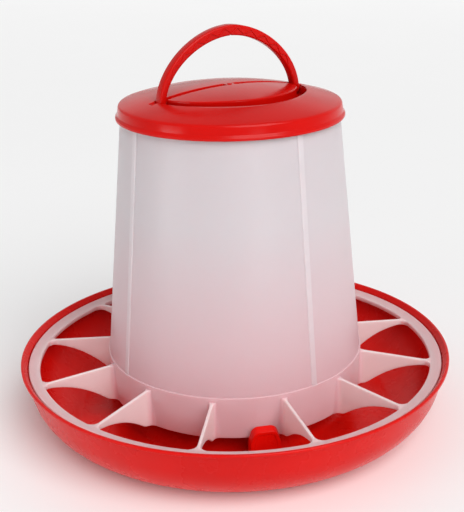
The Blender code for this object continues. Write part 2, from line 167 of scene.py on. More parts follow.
class FeederLidSettings(bpy.types.PropertyGroup):
    lip_radius: length("Lip radius", "Outer radius of the lid's lip", LID_BOX[1].x)
    lip_bottom: length("Lip bottom", "Height of the lip's lower edge", LID_BOX[0].z)
    lip_height: length("Lip height", "Height of the lip's upright edge", 1.6 * MM)
    shoulder_radius: length("Shoulder radius", "Radius of the lid's shoulder", 73.0 * MM)
    shoulder_height: length("Shoulder height", "Height of the lid's shoulder", 221.1 * MM)
    apex_height: length("Apex height", "Height of the dome's middle", 232.0 * MM)
    wall: length("Wall", "Wall thickness", 2.2 * MM)
    seat_height: length("Seat height", "Height at which the lid rests on the tube", 217.7 * MM)
    ring_radius: length("Locating ring radius", "Radius of the ring inside the tube", 69.4 * MM)
    ring_height: length("Locating ring height", "Height of the ring inside the tube", 3.6 * MM)
    groove_gap: length("Groove gap", "Room beside the folded bail", 0.6 * MM)
    line_width: length("Slot width", "Width of the straight slot", 5.0 * MM)
    line_depth: length("Slot depth", "Depth of the straight slot", 2.6 * MM)
    line_end: length("Slot end", "Distance of the slot's ends from the middle", 57.7 * MM)
    line_bridge: length("Slot bridge", "Half the bridge in the middle of the slot", 3.0 * MM)


class FeederBailSettings(bpy.types.PropertyGroup):
    outer_width: length("Outer half width", "Half the width over the bail's feet", 52.4 * MM)
    outer_height: length("Outer height", "Height of the arch above its axis",
                         BAIL_BOX[1].z - BAIL_AXIS_HEIGHT)
    inner_width: length("Inner half width", "Half the width between the feet", 47.9 * MM)
    inner_height: length("Inner height", "Height under the arch above its axis", 39.3 * MM)
    power: FloatProperty(name="Arch power", description="2 is an ellipse, and less is more pointed",
                         default=1.81, min=1.0, max=4.0)
    depth: length("Depth", "Thickness of the bail from front to back", 7.2 * MM)
    chamfer: length("Chamfer", "Width of the flat on each long edge", 0.7 * MM)
    foot_radius: length("Foot radius", "Radius of the round foot", 3.6 * MM)
    pin_radius: length("Pin radius", "Radius of the pivot pin", 1.5 * MM)
    pin_end: length("Pin end", "Distance of the pin's end from the middle", 57.0 * MM)
    relief_teeth: IntProperty(name="Zigzag teeth", description="Teeth of the raised zigzag",
                              default=10, min=2)
    relief_width: length("Zigzag width", "Width of the zigzag's stroke", 1.4 * MM)
    relief_height: length("Zigzag height", "How far the zigzag stands out", 0.55 * MM)


class FeederFinishSettings(bpy.types.PropertyGroup):
    pan: colour("Pan red", "Colour of the pan", (0.67, 0.004, 0.002, 1.0))
    pan_deep: colour("Deep pan red", "Colour of the pan where the pigment is denser",
                     (0.60, 0.003, 0.0015, 1.0))
    # Painted light: a brighter red that stands in for light coming through the grille into the pan.
    trough_painted_light: colour("Trough red", "Colour inside the pan, where light comes through the grille",
                   (0.76, 0.005, 0.002, 1.0))
    red: colour("Red", "Colour of the lid and bail", (0.62, 0.004, 0.002, 1.0))
    red_deep: colour("Deep red", "Colour where the pigment is denser", (0.54, 0.003, 0.0015, 1.0))
    natural: colour("Natural", "Colour of the tube", (0.64, 0.56, 0.585, 1.0))
    # Painted red light: the pink low on the tube stands in for light bounced up from the red pan.
    natural_low_painted_bounce: colour("Low natural", "Colour low on the tube", (0.70, 0.425, 0.455, 1.0))
    # Painted highlight: the ribs are painted lighter where light catches them.
    rib: colour("Ribs", "Colour of the thicker upright ribs", (0.73, 0.655, 0.68, 1.0))
    # Painted red light: the pinks of the collar, fins and ring stand in for the red pan's light
    # coming through them.
    collar: colour("Collar", "Colour of the collar", (0.78, 0.50, 0.53, 1.0))
    fin: colour("Fins", "Colour of the fins", (0.80, 0.62, 0.62, 1.0))
    ring: colour("Ring", "Colour of the ring where the red shows through",
                 (0.76, 0.46, 0.47, 1.0))


class FeederStageSettings(bpy.types.PropertyGroup):
    floor: colour("Floor", "Colour of the studio floor", (0.94, 0.94, 0.94, 1.0))
    floor_size: length("Floor size", "Half the width of the studio floor", 20.0)
    sky: FloatProperty(name="Sky", description="Strength of the even light from all round",
                       default=0.44, min=0.0, max=5.0)
    key: FloatProperty(name="Key", description="Strength of the soft key light", default=2.2,
                       min=0.0, max=20.0)
    camera_distance: length("Camera distance", "Level distance of the camera from the axis", 0.6517)
    camera_rise: length("Camera rise", "Height of the camera above the pan's rim", 0.3083)
    camera_azimuth: degrees("Camera azimuth", "Turn of the camera from -Y", 9.7)
    camera_pitch: degrees("Camera pitch", "How far the camera looks down", 20.34)
    camera_roll: degrees("Camera roll", "Turn of the camera about its view", -1.13)
    camera_lens: FloatProperty(name="Camera lens", description="Focal length in millimetres",
                               default=70.76, min=10.0, max=300.0)
    camera_shift: FloatProperty(name="Camera shift", description="Sideways shift of the view",
                                default=-0.0018, min=-0.1, max=0.1)


SETTINGS = {
    "feeder_pan": FeederPanSettings,
    "feeder_tongue": FeederTongueSettings,
    "feeder_hopper": FeederHopperSettings,
    "feeder_grille": FeederGrilleSettings,
    "feeder_lid": FeederLidSettings,
    "feeder_bail": FeederBailSettings,
    "feeder_finish": FeederFinishSettings,
    "feeder_stage": FeederStageSettings,
}


# ---------------------------------------------------------------- mesh helpers

def turn(angle):
    """A turn about the feeder's upright axis."""
    return Matrix.Rotation(angle, 4, "Z")


def rounded(points, radii, steps=5):
    """An open outline of which some corners, by their place in the row, become arcs."""
    outline = [Vector(points[0])]
    for i in range(1, len(points) - 1):
        corner = Vector(points[i])
        radius = radii.get(i, 0.0)
        if radius == 0.0:
            outline.append(corner)
            continue
        back = (Vector(points[i - 1]) - corner).normalized()
        ahead = (Vector(points[i + 1]) - corner).normalized()
        half_angle = back.angle(ahead) / 2
        centre = corner + (back + ahead).normalized() * (radius / math.sin(half_angle))
        reach = radius / math.tan(half_angle)
        start = corner + back * reach - centre
        end = corner + ahead * reach - centre
        sweep = start.angle(end)
        for k in range(steps + 1):
            share = k / steps
            mix = start * math.sin(sweep * (1 - share)) + end * math.sin(sweep * share)
            outline.append(centre + mix / math.sin(sweep))
    outline.append(Vector(points[-1]))
    return outline


def turned(bm, outline, steps, closed=True):
    """Spin an (r, z) outline round the Z axis; points on the axis close to a pole."""
    verts = [bm.verts.new((p[0], 0.0, p[1])) for p in outline]
    edges = [bm.edges.new(pair) for pair in zip(verts, verts[1:])]
    if closed:
        edges.append(bm.edges.new((verts[-1], verts[0])))
    bmesh.ops.spin(bm, geom=verts + edges, cent=(0, 0, 0), axis=(0, 0, 1), angle=2 * math.pi,
                   steps=steps, use_merge=True)
    bmesh.ops.remove_doubles(bm, verts=bm.verts, dist=MERGE_DISTANCE)


def loft(bm, rings):
    """Bridge a row of closed rings of points, close both ends and turn the faces outwards."""
    loops = []
    for ring in rings:
        verts = [bm.verts.new(p) for p in ring]
        edges = [bm.edges.new(pair) for pair in zip(verts, verts[1:] + verts[:1])]
        loops.append((verts, edges))
    for before, after in zip(loops, loops[1:]):
        bmesh.ops.bridge_loops(bm, edges=before[1] + after[1])
    bm.faces.new(loops[0][0])
    bm.faces.new(loops[-1][0])
    bmesh.ops.recalc_face_normals(bm, faces=bm.faces)


def soften(bm, edges, offset, segments=2):
    """Round off the given edges."""
    bmesh.ops.bevel(bm, geom=list(edges), offset=offset, segments=segments, profile=0.5,
                    affect="EDGES", clamp_overlap=True, material=-1)


def block(size, rounding):
    """A box with rounded edges round the origin."""
    bm = bmesh.new()
    bmesh.ops.create_cube(bm, size=1.0)
    bmesh.ops.scale(bm, vec=size, verts=bm.verts)
    soften(bm, bm.edges, rounding)
    return bm


def append(bm, part, places=(Matrix(),)):
    """Add a finished bmesh to another one, once at each of the given places, and free it."""
    mesh = bpy.data.meshes.new("part")
    part.to_mesh(mesh)
    part.free()
    for place in places:
        first = len(bm.verts)
        bm.from_mesh(mesh)
        bm.verts.ensure_lookup_table()
        bmesh.ops.transform(bm, matrix=place, verts=bm.verts[first:])
    bpy.data.meshes.remove(mesh)


def repeated(part, count, first, place=Matrix()):
    """Copies of a part set evenly round the Z axis, of which the first is turned by an angle."""
    bm = bmesh.new()
    append(bm, part, [turn(first + i * 2 * math.pi / count) @ place for i in range(count)])
    return bm


def object_from(name, bm):
    """Make a scene object of a bmesh, with its faces turned outwards."""
    bmesh.ops.recalc_face_normals(bm, faces=bm.faces)
    mesh = bpy.data.meshes.new(name)
    bm.to_mesh(mesh)
    bm.free()
    item = bpy.data.objects.new(name, mesh)
    bpy.context.scene.collection.objects.link(item)
    return item


def combine(item, tools):
    """Apply a row of (bmesh, operation) Booleans and remove their guide solids."""
    guides = []
    for k, (bm, operation) in enumerate(tools):
        guide = object_from(f"{item.name}_guide_{k}", bm)
        modifier = item.modifiers.new(f"step_{k}", "BOOLEAN")
        modifier.operation = operation
        modifier.object = guide
        modifier.solver = "EXACT"
        guides.append(guide)
    bpy.context.view_layer.update()
    evaluated = item.evaluated_get(bpy.context.evaluated_depsgraph_get())
    mesh = bpy.data.meshes.new_from_object(evaluated)
    item.modifiers.clear()
    item.data = mesh
    mesh.name = item.name
    for guide in guides:
        bpy.data.objects.remove(guide)


def settle(item, node, body, material):
    """Shade the piece, give it its finish and let it stand for the CAD node on its body."""
    if len(item.data.polygons) == 0:
        raise RuntimeError(f"{item.name} came out empty")
    item.data.materials.clear()
    item.data.materials.append(material)
    item.data.shade_smooth()
    item.data.set_sharp_from_angle(angle=SHARP_ANGLE)
    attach(item, body)
    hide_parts(node)


# ---------------------------------------------------------------- materials

PLASTIC_IOR = 1.49
TROUGH_LIGHT_FADE = (128.0 * MM, 143.0 * MM)  # radii between which the painted light inside the pan gives way to its plain red


class Nodes:
    """A node material that starts from one Principled shader."""

    def __init__(self, name):
        self.material = bpy.data.materials.get(name) or bpy.data.materials.new(name)
        self.material.use_nodes = True
        self.tree = self.material.node_tree
        self.tree.nodes.clear()
        self.shader = self.add("ShaderNodeBsdfPrincipled")
        output = self.add("ShaderNodeOutputMaterial")
        self.link(self.shader.outputs["BSDF"], output.inputs["Surface"])
        self.place = self.add("ShaderNodeTexCoord").outputs["Object"]

    def add(self, kind, **values):
        node = self.tree.nodes.new(kind)
        for key, value in values.items():
            setattr(node, key, value)
        return node

    def link(self, source, target):
        self.tree.links.new(source, target)

    def noise(self, scale, detail=3.0, stretch=(1.0, 1.0, 1.0)):
        mapping = self.add("ShaderNodeMapping")
        mapping.inputs["Scale"].default_value = stretch
        self.link(self.place, mapping.inputs["Vector"])
        node = self.add("ShaderNodeTexNoise")
        node.inputs["Scale"].default_value = scale
        node.inputs["Detail"].default_value = detail
        self.link(mapping.outputs["Vector"], node.inputs["Vector"])
        return node.outputs["Fac"]

    def radius(self):
        """Distance from the feeder's upright axis."""
        level = self.add("ShaderNodeVectorMath", operation="MULTIPLY")
        level.inputs[1].default_value = (1.0, 1.0, 0.0)
        self.link(self.place, level.inputs[0])
        away = self.add("ShaderNodeVectorMath", operation="LENGTH")
        self.link(level.outputs["Vector"], away.inputs[0])
        return away.outputs["Value"]

    def ranged(self, source, low, high, out_low, out_high):
        """Map low..high of a value to out_low..out_high."""
        node = self.add("ShaderNodeMapRange")
        limits = {"From Min": low, "From Max": high, "To Min": out_low, "To Max": out_high}
        for key, value in limits.items():
            node.inputs[key].default_value = value
        self.link(source, node.inputs["Value"])
        return node.outputs["Result"]

    def mixed(self, factor, first, second):
        """Mix two colours, each of which is a fixed one or comes from a socket."""
        node = self.add("ShaderNodeMix", data_type="RGBA")
        self.link(factor, node.inputs[0])
        for colour_in, source in ((node.inputs[6], first), (node.inputs[7], second)):
            if isinstance(source, bpy.types.NodeSocket):
                self.link(source, colour_in)
            else:
                colour_in.default_value = source
        return node.outputs[2]

    def constants(self, values):
        """Set the shader's own sockets."""
        for key, value in values.items():
            self.shader.inputs[key].default_value = value

    def bumped(self, heights):
        """Chain bumps of (height socket, strength, distance) into the shader's normal."""
        normal = None
        for height, strength, distance in heights:
            node = self.add("ShaderNodeBump")
            node.inputs["Strength"].default_value = strength
            node.inputs["Distance"].default_value = distance
            self.link(height, node.inputs["Height"])
            if normal is not None:
                self.link(normal, node.inputs["Normal"])
            normal = node.outputs["Normal"]
        self.link(normal, self.shader.inputs["Normal"])


def red_polypropylene(name, roughness, light, deep, trough_painted_light=None):
    """Dyed polypropylene: pigment clouds, a faint orange peel and fine handling scratches.

    A brighter red of painted light, for light through the grille, takes over inside the pan.
    """
    nodes = Nodes(name)
    clouds = nodes.ranged(nodes.noise(22.0, 4.0), 0.35, 0.70, 0.0, 1.0)
    red = nodes.mixed(clouds, light, deep)
    if trough_painted_light is not None:
        # Painted light: the brighter red takes over towards the middle of the pan.
        inside = nodes.ranged(nodes.radius(), *TROUGH_LIGHT_FADE, 1.0, 0.0)
        red = nodes.mixed(inside, red, trough_painted_light)
    nodes.link(red, nodes.shader.inputs["Base Color"])
    haze = nodes.noise(60.0, 5.0)
    nodes.link(nodes.ranged(haze, 0.3, 0.7, roughness - 0.03, roughness + 0.06),
               nodes.shader.inputs["Roughness"])
    peel = nodes.noise(420.0, 2.0)
    waves = nodes.noise(28.0, 2.0)
    scratches = nodes.noise(90.0, 6.0, (1.0, 1.0, 14.0))
    nodes.bumped([(waves, 0.08, 0.6 * MM), (peel, 0.05, 0.05 * MM), (scratches, 0.04, 0.03 * MM)])
    nodes.constants({
        "Metallic": 0.0, "IOR": PLASTIC_IOR, "Specular IOR Level": 0.18, "Subsurface Weight": 0.15,
        "Subsurface Radius": (1.0, 0.15, 0.1), "Subsurface Scale": 0.8 * MM,
    })
    return nodes.material


def natural_polypropylene(name):
    """Undyed polypropylene: milky and translucent, with faint flow lines, painted red light low down
    and painted rib highlights.
    """
    finish = bpy.context.scene.feeder_finish
    hopper = bpy.context.scene.feeder_hopper
    grille = bpy.context.scene.feeder_grille
    nodes = Nodes(name)
    split = nodes.add("ShaderNodeSeparateXYZ")
    nodes.link(nodes.place, split.inputs["Vector"])
    height = split.outputs["Z"]
    radius = nodes.radius()
    # Painted red light: pinker towards the bottom of the tube, for light bounced up from the red
    # pan.
    low = nodes.ranged(height, hopper.ledge_height, hopper.top_height * 0.72, 1.0, 0.0)
    tube = nodes.mixed(low, finish.natural, finish.natural_low_painted_bounce)
    # Painted highlight: the four ribs, which stand on the diagonals where |x| and |y| are equal, are
    # painted lighter.
    off_diagonal = nodes.add("ShaderNodeMath", operation="SUBTRACT")
    for axis, socket in (("X", off_diagonal.inputs[0]), ("Y", off_diagonal.inputs[1])):
        side = nodes.add("ShaderNodeMath", operation="ABSOLUTE")
        nodes.link(split.outputs[axis], side.inputs[0])
        nodes.link(side.outputs["Value"], socket)
    from_rib = nodes.add("ShaderNodeMath", operation="ABSOLUTE")
    nodes.link(off_diagonal.outputs["Value"], from_rib.inputs[0])
    rib_edge = hopper.rib_width / math.sqrt(2)
    rib_highlight = nodes.ranged(from_rib.outputs["Value"], rib_edge - 0.3 * MM, rib_edge + 0.3 * MM,
                          0.50, 0.0)
    tube = nodes.mixed(rib_highlight, tube, finish.rib)
    # Painted red light: pink on the collar, fins and ring, for the red pan's light coming through
    # the milky plastic.
    on_fin = nodes.ranged(radius, hopper.collar_top_radius + 0.2 * MM,
                          hopper.collar_top_radius + 3.0 * MM, 0.0, 1.0)
    on_ring = nodes.ranged(radius, grille.ring_inner - 6.0 * MM, grille.ring_inner + 5.0 * MM,
                           0.0, 1.0)
    collar_and_fins_red_light = nodes.mixed(on_fin, finish.collar, finish.fin)
    lower = nodes.mixed(on_ring, collar_and_fins_red_light, finish.ring)
    above = nodes.ranged(height, hopper.ledge_height - 1.0 * MM, hopper.ledge_height + 0.5 * MM,
                         0.0, 1.0)
    nodes.link(nodes.mixed(above, lower, tube), nodes.shader.inputs["Base Color"])
    haze = nodes.noise(35.0, 4.0)
    nodes.link(nodes.ranged(haze, 0.3, 0.7, 0.36, 0.46), nodes.shader.inputs["Roughness"])
    flow = nodes.noise(30.0, 4.0, (1.0, 1.0, 0.12))
    grain = nodes.noise(600.0, 2.0)
    nodes.bumped([(flow, 0.12, 0.3 * MM), (grain, 0.08, 0.03 * MM)])
    nodes.constants({
        "Metallic": 0.0, "IOR": PLASTIC_IOR, "Subsurface Weight": 1.0,
        "Subsurface Radius": (1.0, 0.8, 0.8), "Subsurface Scale": 6.0 * MM,
    })
    return nodes.material


def studio_floor():
    """Matt paper with a slight drift in its white."""
    stage = bpy.context.scene.feeder_stage
    nodes = Nodes("studio_floor")
    drift = nodes.noise(3.0, 2.0)
    paper = tuple(c * 0.985 for c in stage.floor[:3]) + (1.0,)
    nodes.link(nodes.mixed(drift, stage.floor, paper), nodes.shader.inputs["Base Color"])
    nodes.constants({"Roughness": 0.9, "Specular IOR Level": 0.1})
    return nodes.material


# ---------------------------------------------------------------- pan

PAN_FACETS = 192


def pan_outline(pan):
    """From the middle of the underside, round the foot, wall and rim, to the cone's tip."""
    floor = pan.foot_height + pan.wall
    wall_top = pan.radius - pan.rim_reach
    flange = pan.rim_height - pan.rim_thickness
    cone_underside = pan.cone_height - pan.wall * 1.3
    return rounded([
        (0.0, cone_underside),
        (pan.cone_tip - pan.wall, cone_underside),
        (pan.cone_radius - pan.wall, pan.foot_height),
        (pan.foot_radius - pan.foot_width, pan.foot_height),
        (pan.foot_radius - pan.foot_width, 0.0),
        (pan.foot_radius, 0.0),
        (pan.belly_radius, pan.belly_height),
        (wall_top - 0.2 * MM, flange - 2.4 * MM),
        (wall_top + 0.3 * MM, flange - 0.2 * MM),
        (pan.radius, flange + 0.2 * MM),
        (pan.radius, pan.rim_height),
        (pan.radius - pan.rim_land, pan.rim_height),
        (pan.ring_bore + 0.3 * MM, pan.ring_seat),
        (pan.ring_bore, pan.ledge_height),
        (pan.ring_bore - pan.ledge_width, pan.ledge_height),
        (pan.belly_radius - pan.wall, pan.belly_height + pan.wall),
        (pan.foot_radius - pan.wall, floor),
        (pan.cone_radius, floor),
        (pan.cone_tip, pan.cone_height - pan.wall),
        (0.0, pan.cone_height),
    ], {
        1: 2.0 * MM, 2: 4.0 * MM, 4: 0.4 * MM, 5: 0.8 * MM,
        6: pan.belly_round, 7: 1.2 * MM, 8: 0.9 * MM, 9: 0.5 * MM, 10: 0.7 * MM, 11: 0.6 * MM,
        12: 1.5 * MM, 13: 0.3 * MM, 14: 0.6 * MM, 15: pan.belly_round - pan.wall,
        16: 10.0 * MM, 17: pan.cone_fillet, 18: 3.0 * MM,
    }, steps=6)


def tongue_solid(pan, tongue):
    """The tongues: sloping tops, soft edges and a shallow panel sunk in each outer face."""
    half_base = tongue.base_width / 2
    half_top = tongue.top_width / 2
    base = pan.foot_height + pan.wall / 2
    above_base = base + 1.0 * MM
    shoulder = tongue.top_height - 9.0 * MM
    outline = rounded([(0.0, base), (half_base, base), (half_base, shoulder),
                       (half_top, tongue.top_height), (0.0, tongue.top_height)],
                      {2: 8.0 * MM, 3: 5.0 * MM}, steps=8)
    outline += [Vector((-p[0], p[1])) for p in reversed(outline[1:-1])]
    bm = bmesh.new()
    face = bm.faces.new([bm.verts.new((p[0], 0.0, p[1])) for p in outline])
    grown = bmesh.ops.extrude_face_region(bm, geom=[face])
    outer = [v for v in grown["geom"] if isinstance(v, bmesh.types.BMVert)]
    bmesh.ops.translate(bm, verts=outer, vec=(0, -tongue.thickness, 0))
    bmesh.ops.recalc_face_normals(bm, faces=bm.faces)
    for vert in outer:
        if vert.co.z > above_base:
            vert.co.z -= 1.5 * MM * (vert.co.z - base) / (tongue.top_height - base)
            vert.co.x *= 0.94
    front = min(bm.faces, key=lambda f: f.calc_center_median().y)
    back = max(bm.faces, key=lambda f: f.calc_center_median().y)
    rims = [e for f in (front, back) for e in f.edges if min(v.co.z for v in e.verts) > above_base]
    soften(bm, rims, 0.7 * MM, 3)
    front = min(bm.faces, key=lambda f: (f.calc_center_median().y, -f.calc_area()))
    bmesh.ops.inset_region(bm, faces=[front], thickness=1.6 * MM)
    bmesh.ops.inset_region(bm, faces=[front], thickness=0.5 * MM, depth=-tongue.panel_depth)
    return repeated(bm, tongue.count, tongue.angle, Matrix.Translation((0, -tongue.radius, 0)))


def hook_solid(tongue):
    """The hooks on the tongues' inner faces."""
    reach = tongue.hook_reach + tongue.thickness / 2
    height = tongue.hook_top - tongue.hook_bottom
    middle = tongue.radius - tongue.hook_reach + reach / 2
    place = Matrix.Translation((0, -middle, tongue.hook_bottom + height / 2))
    hook = block((tongue.hook_width, reach, height), 0.4 * MM)
    return repeated(hook, tongue.count, tongue.angle, place)


class FEEDER_OT_pan(bpy.types.Operator):
    """Build the red pan with its feed cone, rim and locking tongues"""
    bl_idname = "feeder.pan"
    bl_label = "Pan"

    def execute(self, context):
        pan = context.scene.feeder_pan
        tongue = context.scene.feeder_tongue
        bm = bmesh.new()
        turned(bm, pan_outline(pan), PAN_FACETS, closed=False)
        item = object_from("pan_moulding", bm)
        combine(item, [(tongue_solid(pan, tongue), "UNION"), (hook_solid(tongue), "UNION")])
        finish = context.scene.feeder_finish
        settle(item, "pan", "pan",
               red_polypropylene("pan_polypropylene", 0.26, finish.pan, finish.pan_deep,
                                 finish.trough_painted_light))
        return {"FINISHED"}


# ---------------------------------------------------------------- hopper

HOPPER_FACETS = 192
FIN_STEPS = 28
FIN_FALL = 2.3  # power of the curve that a fin's lower edge falls along, from ring to collar
RIB_STEPS = 12


def tube_outline(hopper):
    """Up the outside of the collar and tube, over the open top and down the inside."""
    ledge = hopper.ledge_height
    wall = hopper.wall
    return rounded([
        (hopper.collar_radius - wall / 2, hopper.collar_bottom),
        (hopper.collar_radius, hopper.collar_bottom),
        (hopper.collar_top_radius, ledge - 0.3 * MM),
        (hopper.collar_top_radius + 0.1 * MM, ledge + 0.2 * MM),
        (hopper.tube_radius + 0.1 * MM, ledge + 0.5 * MM),
        (hopper.top_radius, hopper.top_height),
        (hopper.top_radius - wall, hopper.top_height),
        (hopper.tube_radius - wall, ledge + 0.5 * MM),
        (hopper.collar_radius - wall, hopper.collar_bottom),
        (hopper.collar_radius - wall / 2, hopper.collar_bottom),
    ], {1: 0.6 * MM, 2: 0.15 * MM, 3: 0.2 * MM, 4: 0.3 * MM, 5: 0.5 * MM, 6: 0.5 * MM,
        7: 6.0 * MM, 8: 0.6 * MM}, steps=4)[:-1]


def ring_outline(grille):
    """The ring's sloping flange with the lip that hangs from its inner edge."""
    flange_bottom = grille.ring_top - grille.flange
    inner_top = grille.ring_top - grille.ring_sink
    lip = grille.ring_inner + grille.lip_thickness
    middle = (grille.ring_radius + grille.ring_inner) / 2
    return rounded([
        (middle, (grille.ring_top + inner_top) / 2),
        (grille.ring_inner, inner_top),
        (grille.ring_inner + 0.2 * MM, grille.ring_top - grille.lip),
        (lip, grille.ring_top - grille.lip),
        (lip, flange_bottom),
        (grille.ring_radius, flange_bottom),
        (grille.ring_radius, grille.ring_top),
        (middle, (grille.ring_top + inner_top) / 2),
    ], {1: 1.0 * MM, 2: 0.5 * MM, 3: 0.5 * MM, 4: 0.8 * MM, 5: 0.5 * MM, 6: 0.7 * MM}, steps=4)[:-1]


def flare(distance, radius):
    """Extra half thickness of a fin at a distance from the wall that it blends into."""
    if distance >= radius:
        return 0.0
    return radius - math.sqrt(radius ** 2 - (radius - distance) ** 2)


def fin_rings(pan, hopper, grille):
    """Sections of one fin from the collar to the ring, in (along, across, height)."""
    root = hopper.collar_top_radius - hopper.wall
    end = grille.ring_inner + grille.lip_thickness / 2
    deepest = pan.rim_height - hopper.collar_bottom - 0.3 * MM
    ease = 0.8 * MM
    crown = 0.5 * MM
    foot = 0.4 * MM
    rings = []
    for i in range(FIN_STEPS + 1):
        share = 0.5 - 0.5 * math.cos(math.pi * i / FIN_STEPS)
        radius = root + (end - root) * share
        top = grille.fin_top_inner + (grille.fin_top_outer - grille.fin_top_inner) * share
        fall = (1 - share) ** FIN_FALL
        depth = grille.fin_end_depth + (grille.fin_root_depth - grille.fin_end_depth) * fall
        low = pan.rim_height - deepest + ease * math.log1p(math.exp((deepest - depth) / ease))
        to_ring = max(grille.ring_inner - radius, 0.0)
        to_collar = max(radius - hopper.collar_radius, 0.0)
        half = (grille.fin_thickness / 2 + flare(to_ring, grille.fin_ring_flare)
                + flare(to_collar, grille.fin_root_flare))
        heel = half - 0.2 * MM
        rings.append([
            (radius, -heel, low + foot), (radius, -half, top - crown),
            (radius, -half + crown * 0.7, top - crown * 0.2), (radius, 0.0, top),
            (radius, half - crown * 0.7, top - crown * 0.2), (radius, half, top - crown),
            (radius, heel, low + foot), (radius, heel - foot, low), (radius, foot - heel, low),
        ])
    return rings


def fins_solid(pan, hopper, grille):
    """The fins, of which the first points along -Y."""
    fin = bmesh.new()
    loft(fin, fin_rings(pan, hopper, grille))
    return repeated(fin, grille.fins, -math.pi / 2)


def ribs_solid(hopper):
    """Upright ribs that follow the tube's slope from the parting line to its top."""
    bottom = hopper.ledge_height + 0.45 * MM
    top = hopper.top_height - 6.0 * MM
    slope = (hopper.tube_radius - hopper.top_radius) / (hopper.top_height - hopper.ledge_height)
    half = hopper.rib_width / 2
    crest = half - 0.4 * MM
    rings = []
    for k in range(RIB_STEPS + 1):
        height = bottom + (top - bottom) * k / RIB_STEPS
        radius = hopper.tube_radius - slope * (height - hopper.ledge_height)
        edge = math.sqrt(radius ** 2 - half ** 2)
        buried = edge - 0.6 * MM
        proud = edge + hopper.rib_height
        rings.append([
            (-half, -buried, height), (-half, -edge, height), (-crest, -proud, height),
            (0.0, -(radius + hopper.rib_height), height),
            (crest, -proud, height), (half, -edge, height), (half, -buried, height),
        ])
    rib = bmesh.new()
    loft(rib, rings)
    return repeated(rib, hopper.rib_count, hopper.rib_angle)


def lugs_solid(hopper, tongue):
    """Lugs on the collar that sit under the hooks of the tongues."""
    low = hopper.collar_bottom + 0.3 * MM
    high = tongue.hook_bottom - 0.8 * MM
    reach = hopper.lug_reach + hopper.wall / 2
    middle = hopper.collar_radius + hopper.lug_reach - reach / 2
    lug = block((tongue.hook_width, reach, high - low), 0.3 * MM)
    place = Matrix.Translation((0, -middle, (low + high) / 2))
    return repeated(lug, tongue.count, tongue.angle, place)


class FEEDER_OT_hopper(bpy.types.Operator):
    """Build the translucent hopper with its collar, fins and grille ring"""
    bl_idname = "feeder.hopper"
    bl_label = "Hopper and grille"

    def execute(self, context):
        scene = context.scene
        hopper = scene.feeder_hopper
        grille = scene.feeder_grille
        bm = bmesh.new()
        turned(bm, tube_outline(hopper), HOPPER_FACETS)
        turned(bm, ring_outline(grille), HOPPER_FACETS)
        item = object_from("hopper_moulding", bm)
        combine(item, [
            (fins_solid(scene.feeder_pan, hopper, grille), "UNION"),
            (ribs_solid(hopper), "UNION"),
            (lugs_solid(hopper, scene.feeder_tongue), "UNION"),
        ])
        settle(item, "hopper", "hopper",
               natural_polypropylene("hopper_polypropylene"))
        return {"FINISHED"}


# ---------------------------------------------------------------- lid

LID_FACETS = 160
DOME_STEPS = 26
GROOVE_STEPS = 72
SLOT_STEPS = 24


def dome(lid, radius):
    """Height of the lid's top surface at a distance from its middle."""
    drop = lid.apex_height - lid.shoulder_height
    return lid.apex_height - drop * (radius / lid.shoulder_radius) ** 2


def lid_outline(lid):
    """Out over the dome, down the skirt and lip, and back under the dome to its middle."""
    shoulder = lid.shoulder_radius
    lip_top = lid.lip_bottom + lid.lip_height
    ring_inner = lid.ring_radius - 1.5 * MM
    top = [(shoulder * i / DOME_STEPS, dome(lid, shoulder * i / DOME_STEPS))
           for i in range(DOME_STEPS - 1)]
    skirt = rounded([
        top[-1],
        (shoulder, dome(lid, shoulder)),
        (shoulder + 0.9 * MM, lip_top + 1.6 * MM),
        (lid.lip_radius, lip_top),
        (lid.lip_radius, lid.lip_bottom),
        (shoulder, lid.lip_bottom),
        (shoulder - 0.4 * MM, lid.seat_height),
        (lid.ring_radius, lid.seat_height),
        (lid.ring_radius, lid.seat_height - lid.ring_height),
        (ring_inner, lid.seat_height - lid.ring_height),
        (ring_inner, dome(lid, ring_inner) - lid.wall),
    ], {1: 2.2 * MM, 2: 1.2 * MM, 3: 0.6 * MM, 4: 0.4 * MM, 5: 0.3 * MM, 8: 0.4 * MM,
        9: 0.4 * MM}, steps=5)
    under = [(ring_inner * i / DOME_STEPS, dome(lid, ring_inner * i / DOME_STEPS) - lid.wall)
             for i in range(DOME_STEPS - 1, -1, -1)]
    return top[:-1] + skirt + under


def arch_point(bail, t, side, margin=0.0):
    """Point (u, v) on the bail's inner edge (side -1) or outer edge (side 1), with a margin."""
    share = (1 + side) / 2
    width = bail.inner_width + (bail.outer_width - bail.inner_width) * share
    height = bail.inner_height + (bail.outer_height - bail.inner_height) * share
    power = 2 / bail.power
    c = math.cos(t)
    s = max(math.sin(t), 0.0)
    u = (width + margin * side) * math.copysign(abs(c) ** power, c)
    return Vector((u, (height + margin * side) * s ** power))


def arch_angles(steps):
    """Even steps over the arch, from one foot to the other."""
    return [math.pi * i / steps for i in range(steps + 1)]


def groove_tool(lid, bail, margin, floor, mouths):
    """Solid along the folded bail's path; each side's mouth lists (rise above dome, extra width)."""
    stations = [(0.0, bail.foot_radius + margin)]
    stations += [(t, 0.0) for t in arch_angles(GROOVE_STEPS)]
    stations += [(math.pi, bail.foot_radius + margin)]
    last = len(stations) - 1
    rings = []
    for i, (t, behind) in enumerate(stations):
        sides = []
        for side in (-1, 1):
            column = []
            for height, spread in [(None, -0.6 * MM), (None, 0.0)] + mouths[side]:
                extra = spread * (0.1 + 0.9 * math.sin(t) ** 2) if spread > 1.0 * MM else spread
                point = arch_point(bail, t, side, margin + extra)
                back = behind + (max(extra, 0.0) if i in (0, last) else 0.0)
                u, v = point.x, back - point.y
                if height is None:
                    z = floor + extra + 0.6 * MM
                else:
                    z = dome(lid, math.hypot(u, v)) + height
                column.append((u, v, z))
            sides.append(column)
        rings.append(sides[0] + list(reversed(sides[1])))
    bm = bmesh.new()
    loft(bm, rings)
    bmesh.ops.transform(bm, matrix=turn(BAIL_TURN), verts=bm.verts)
    return bm


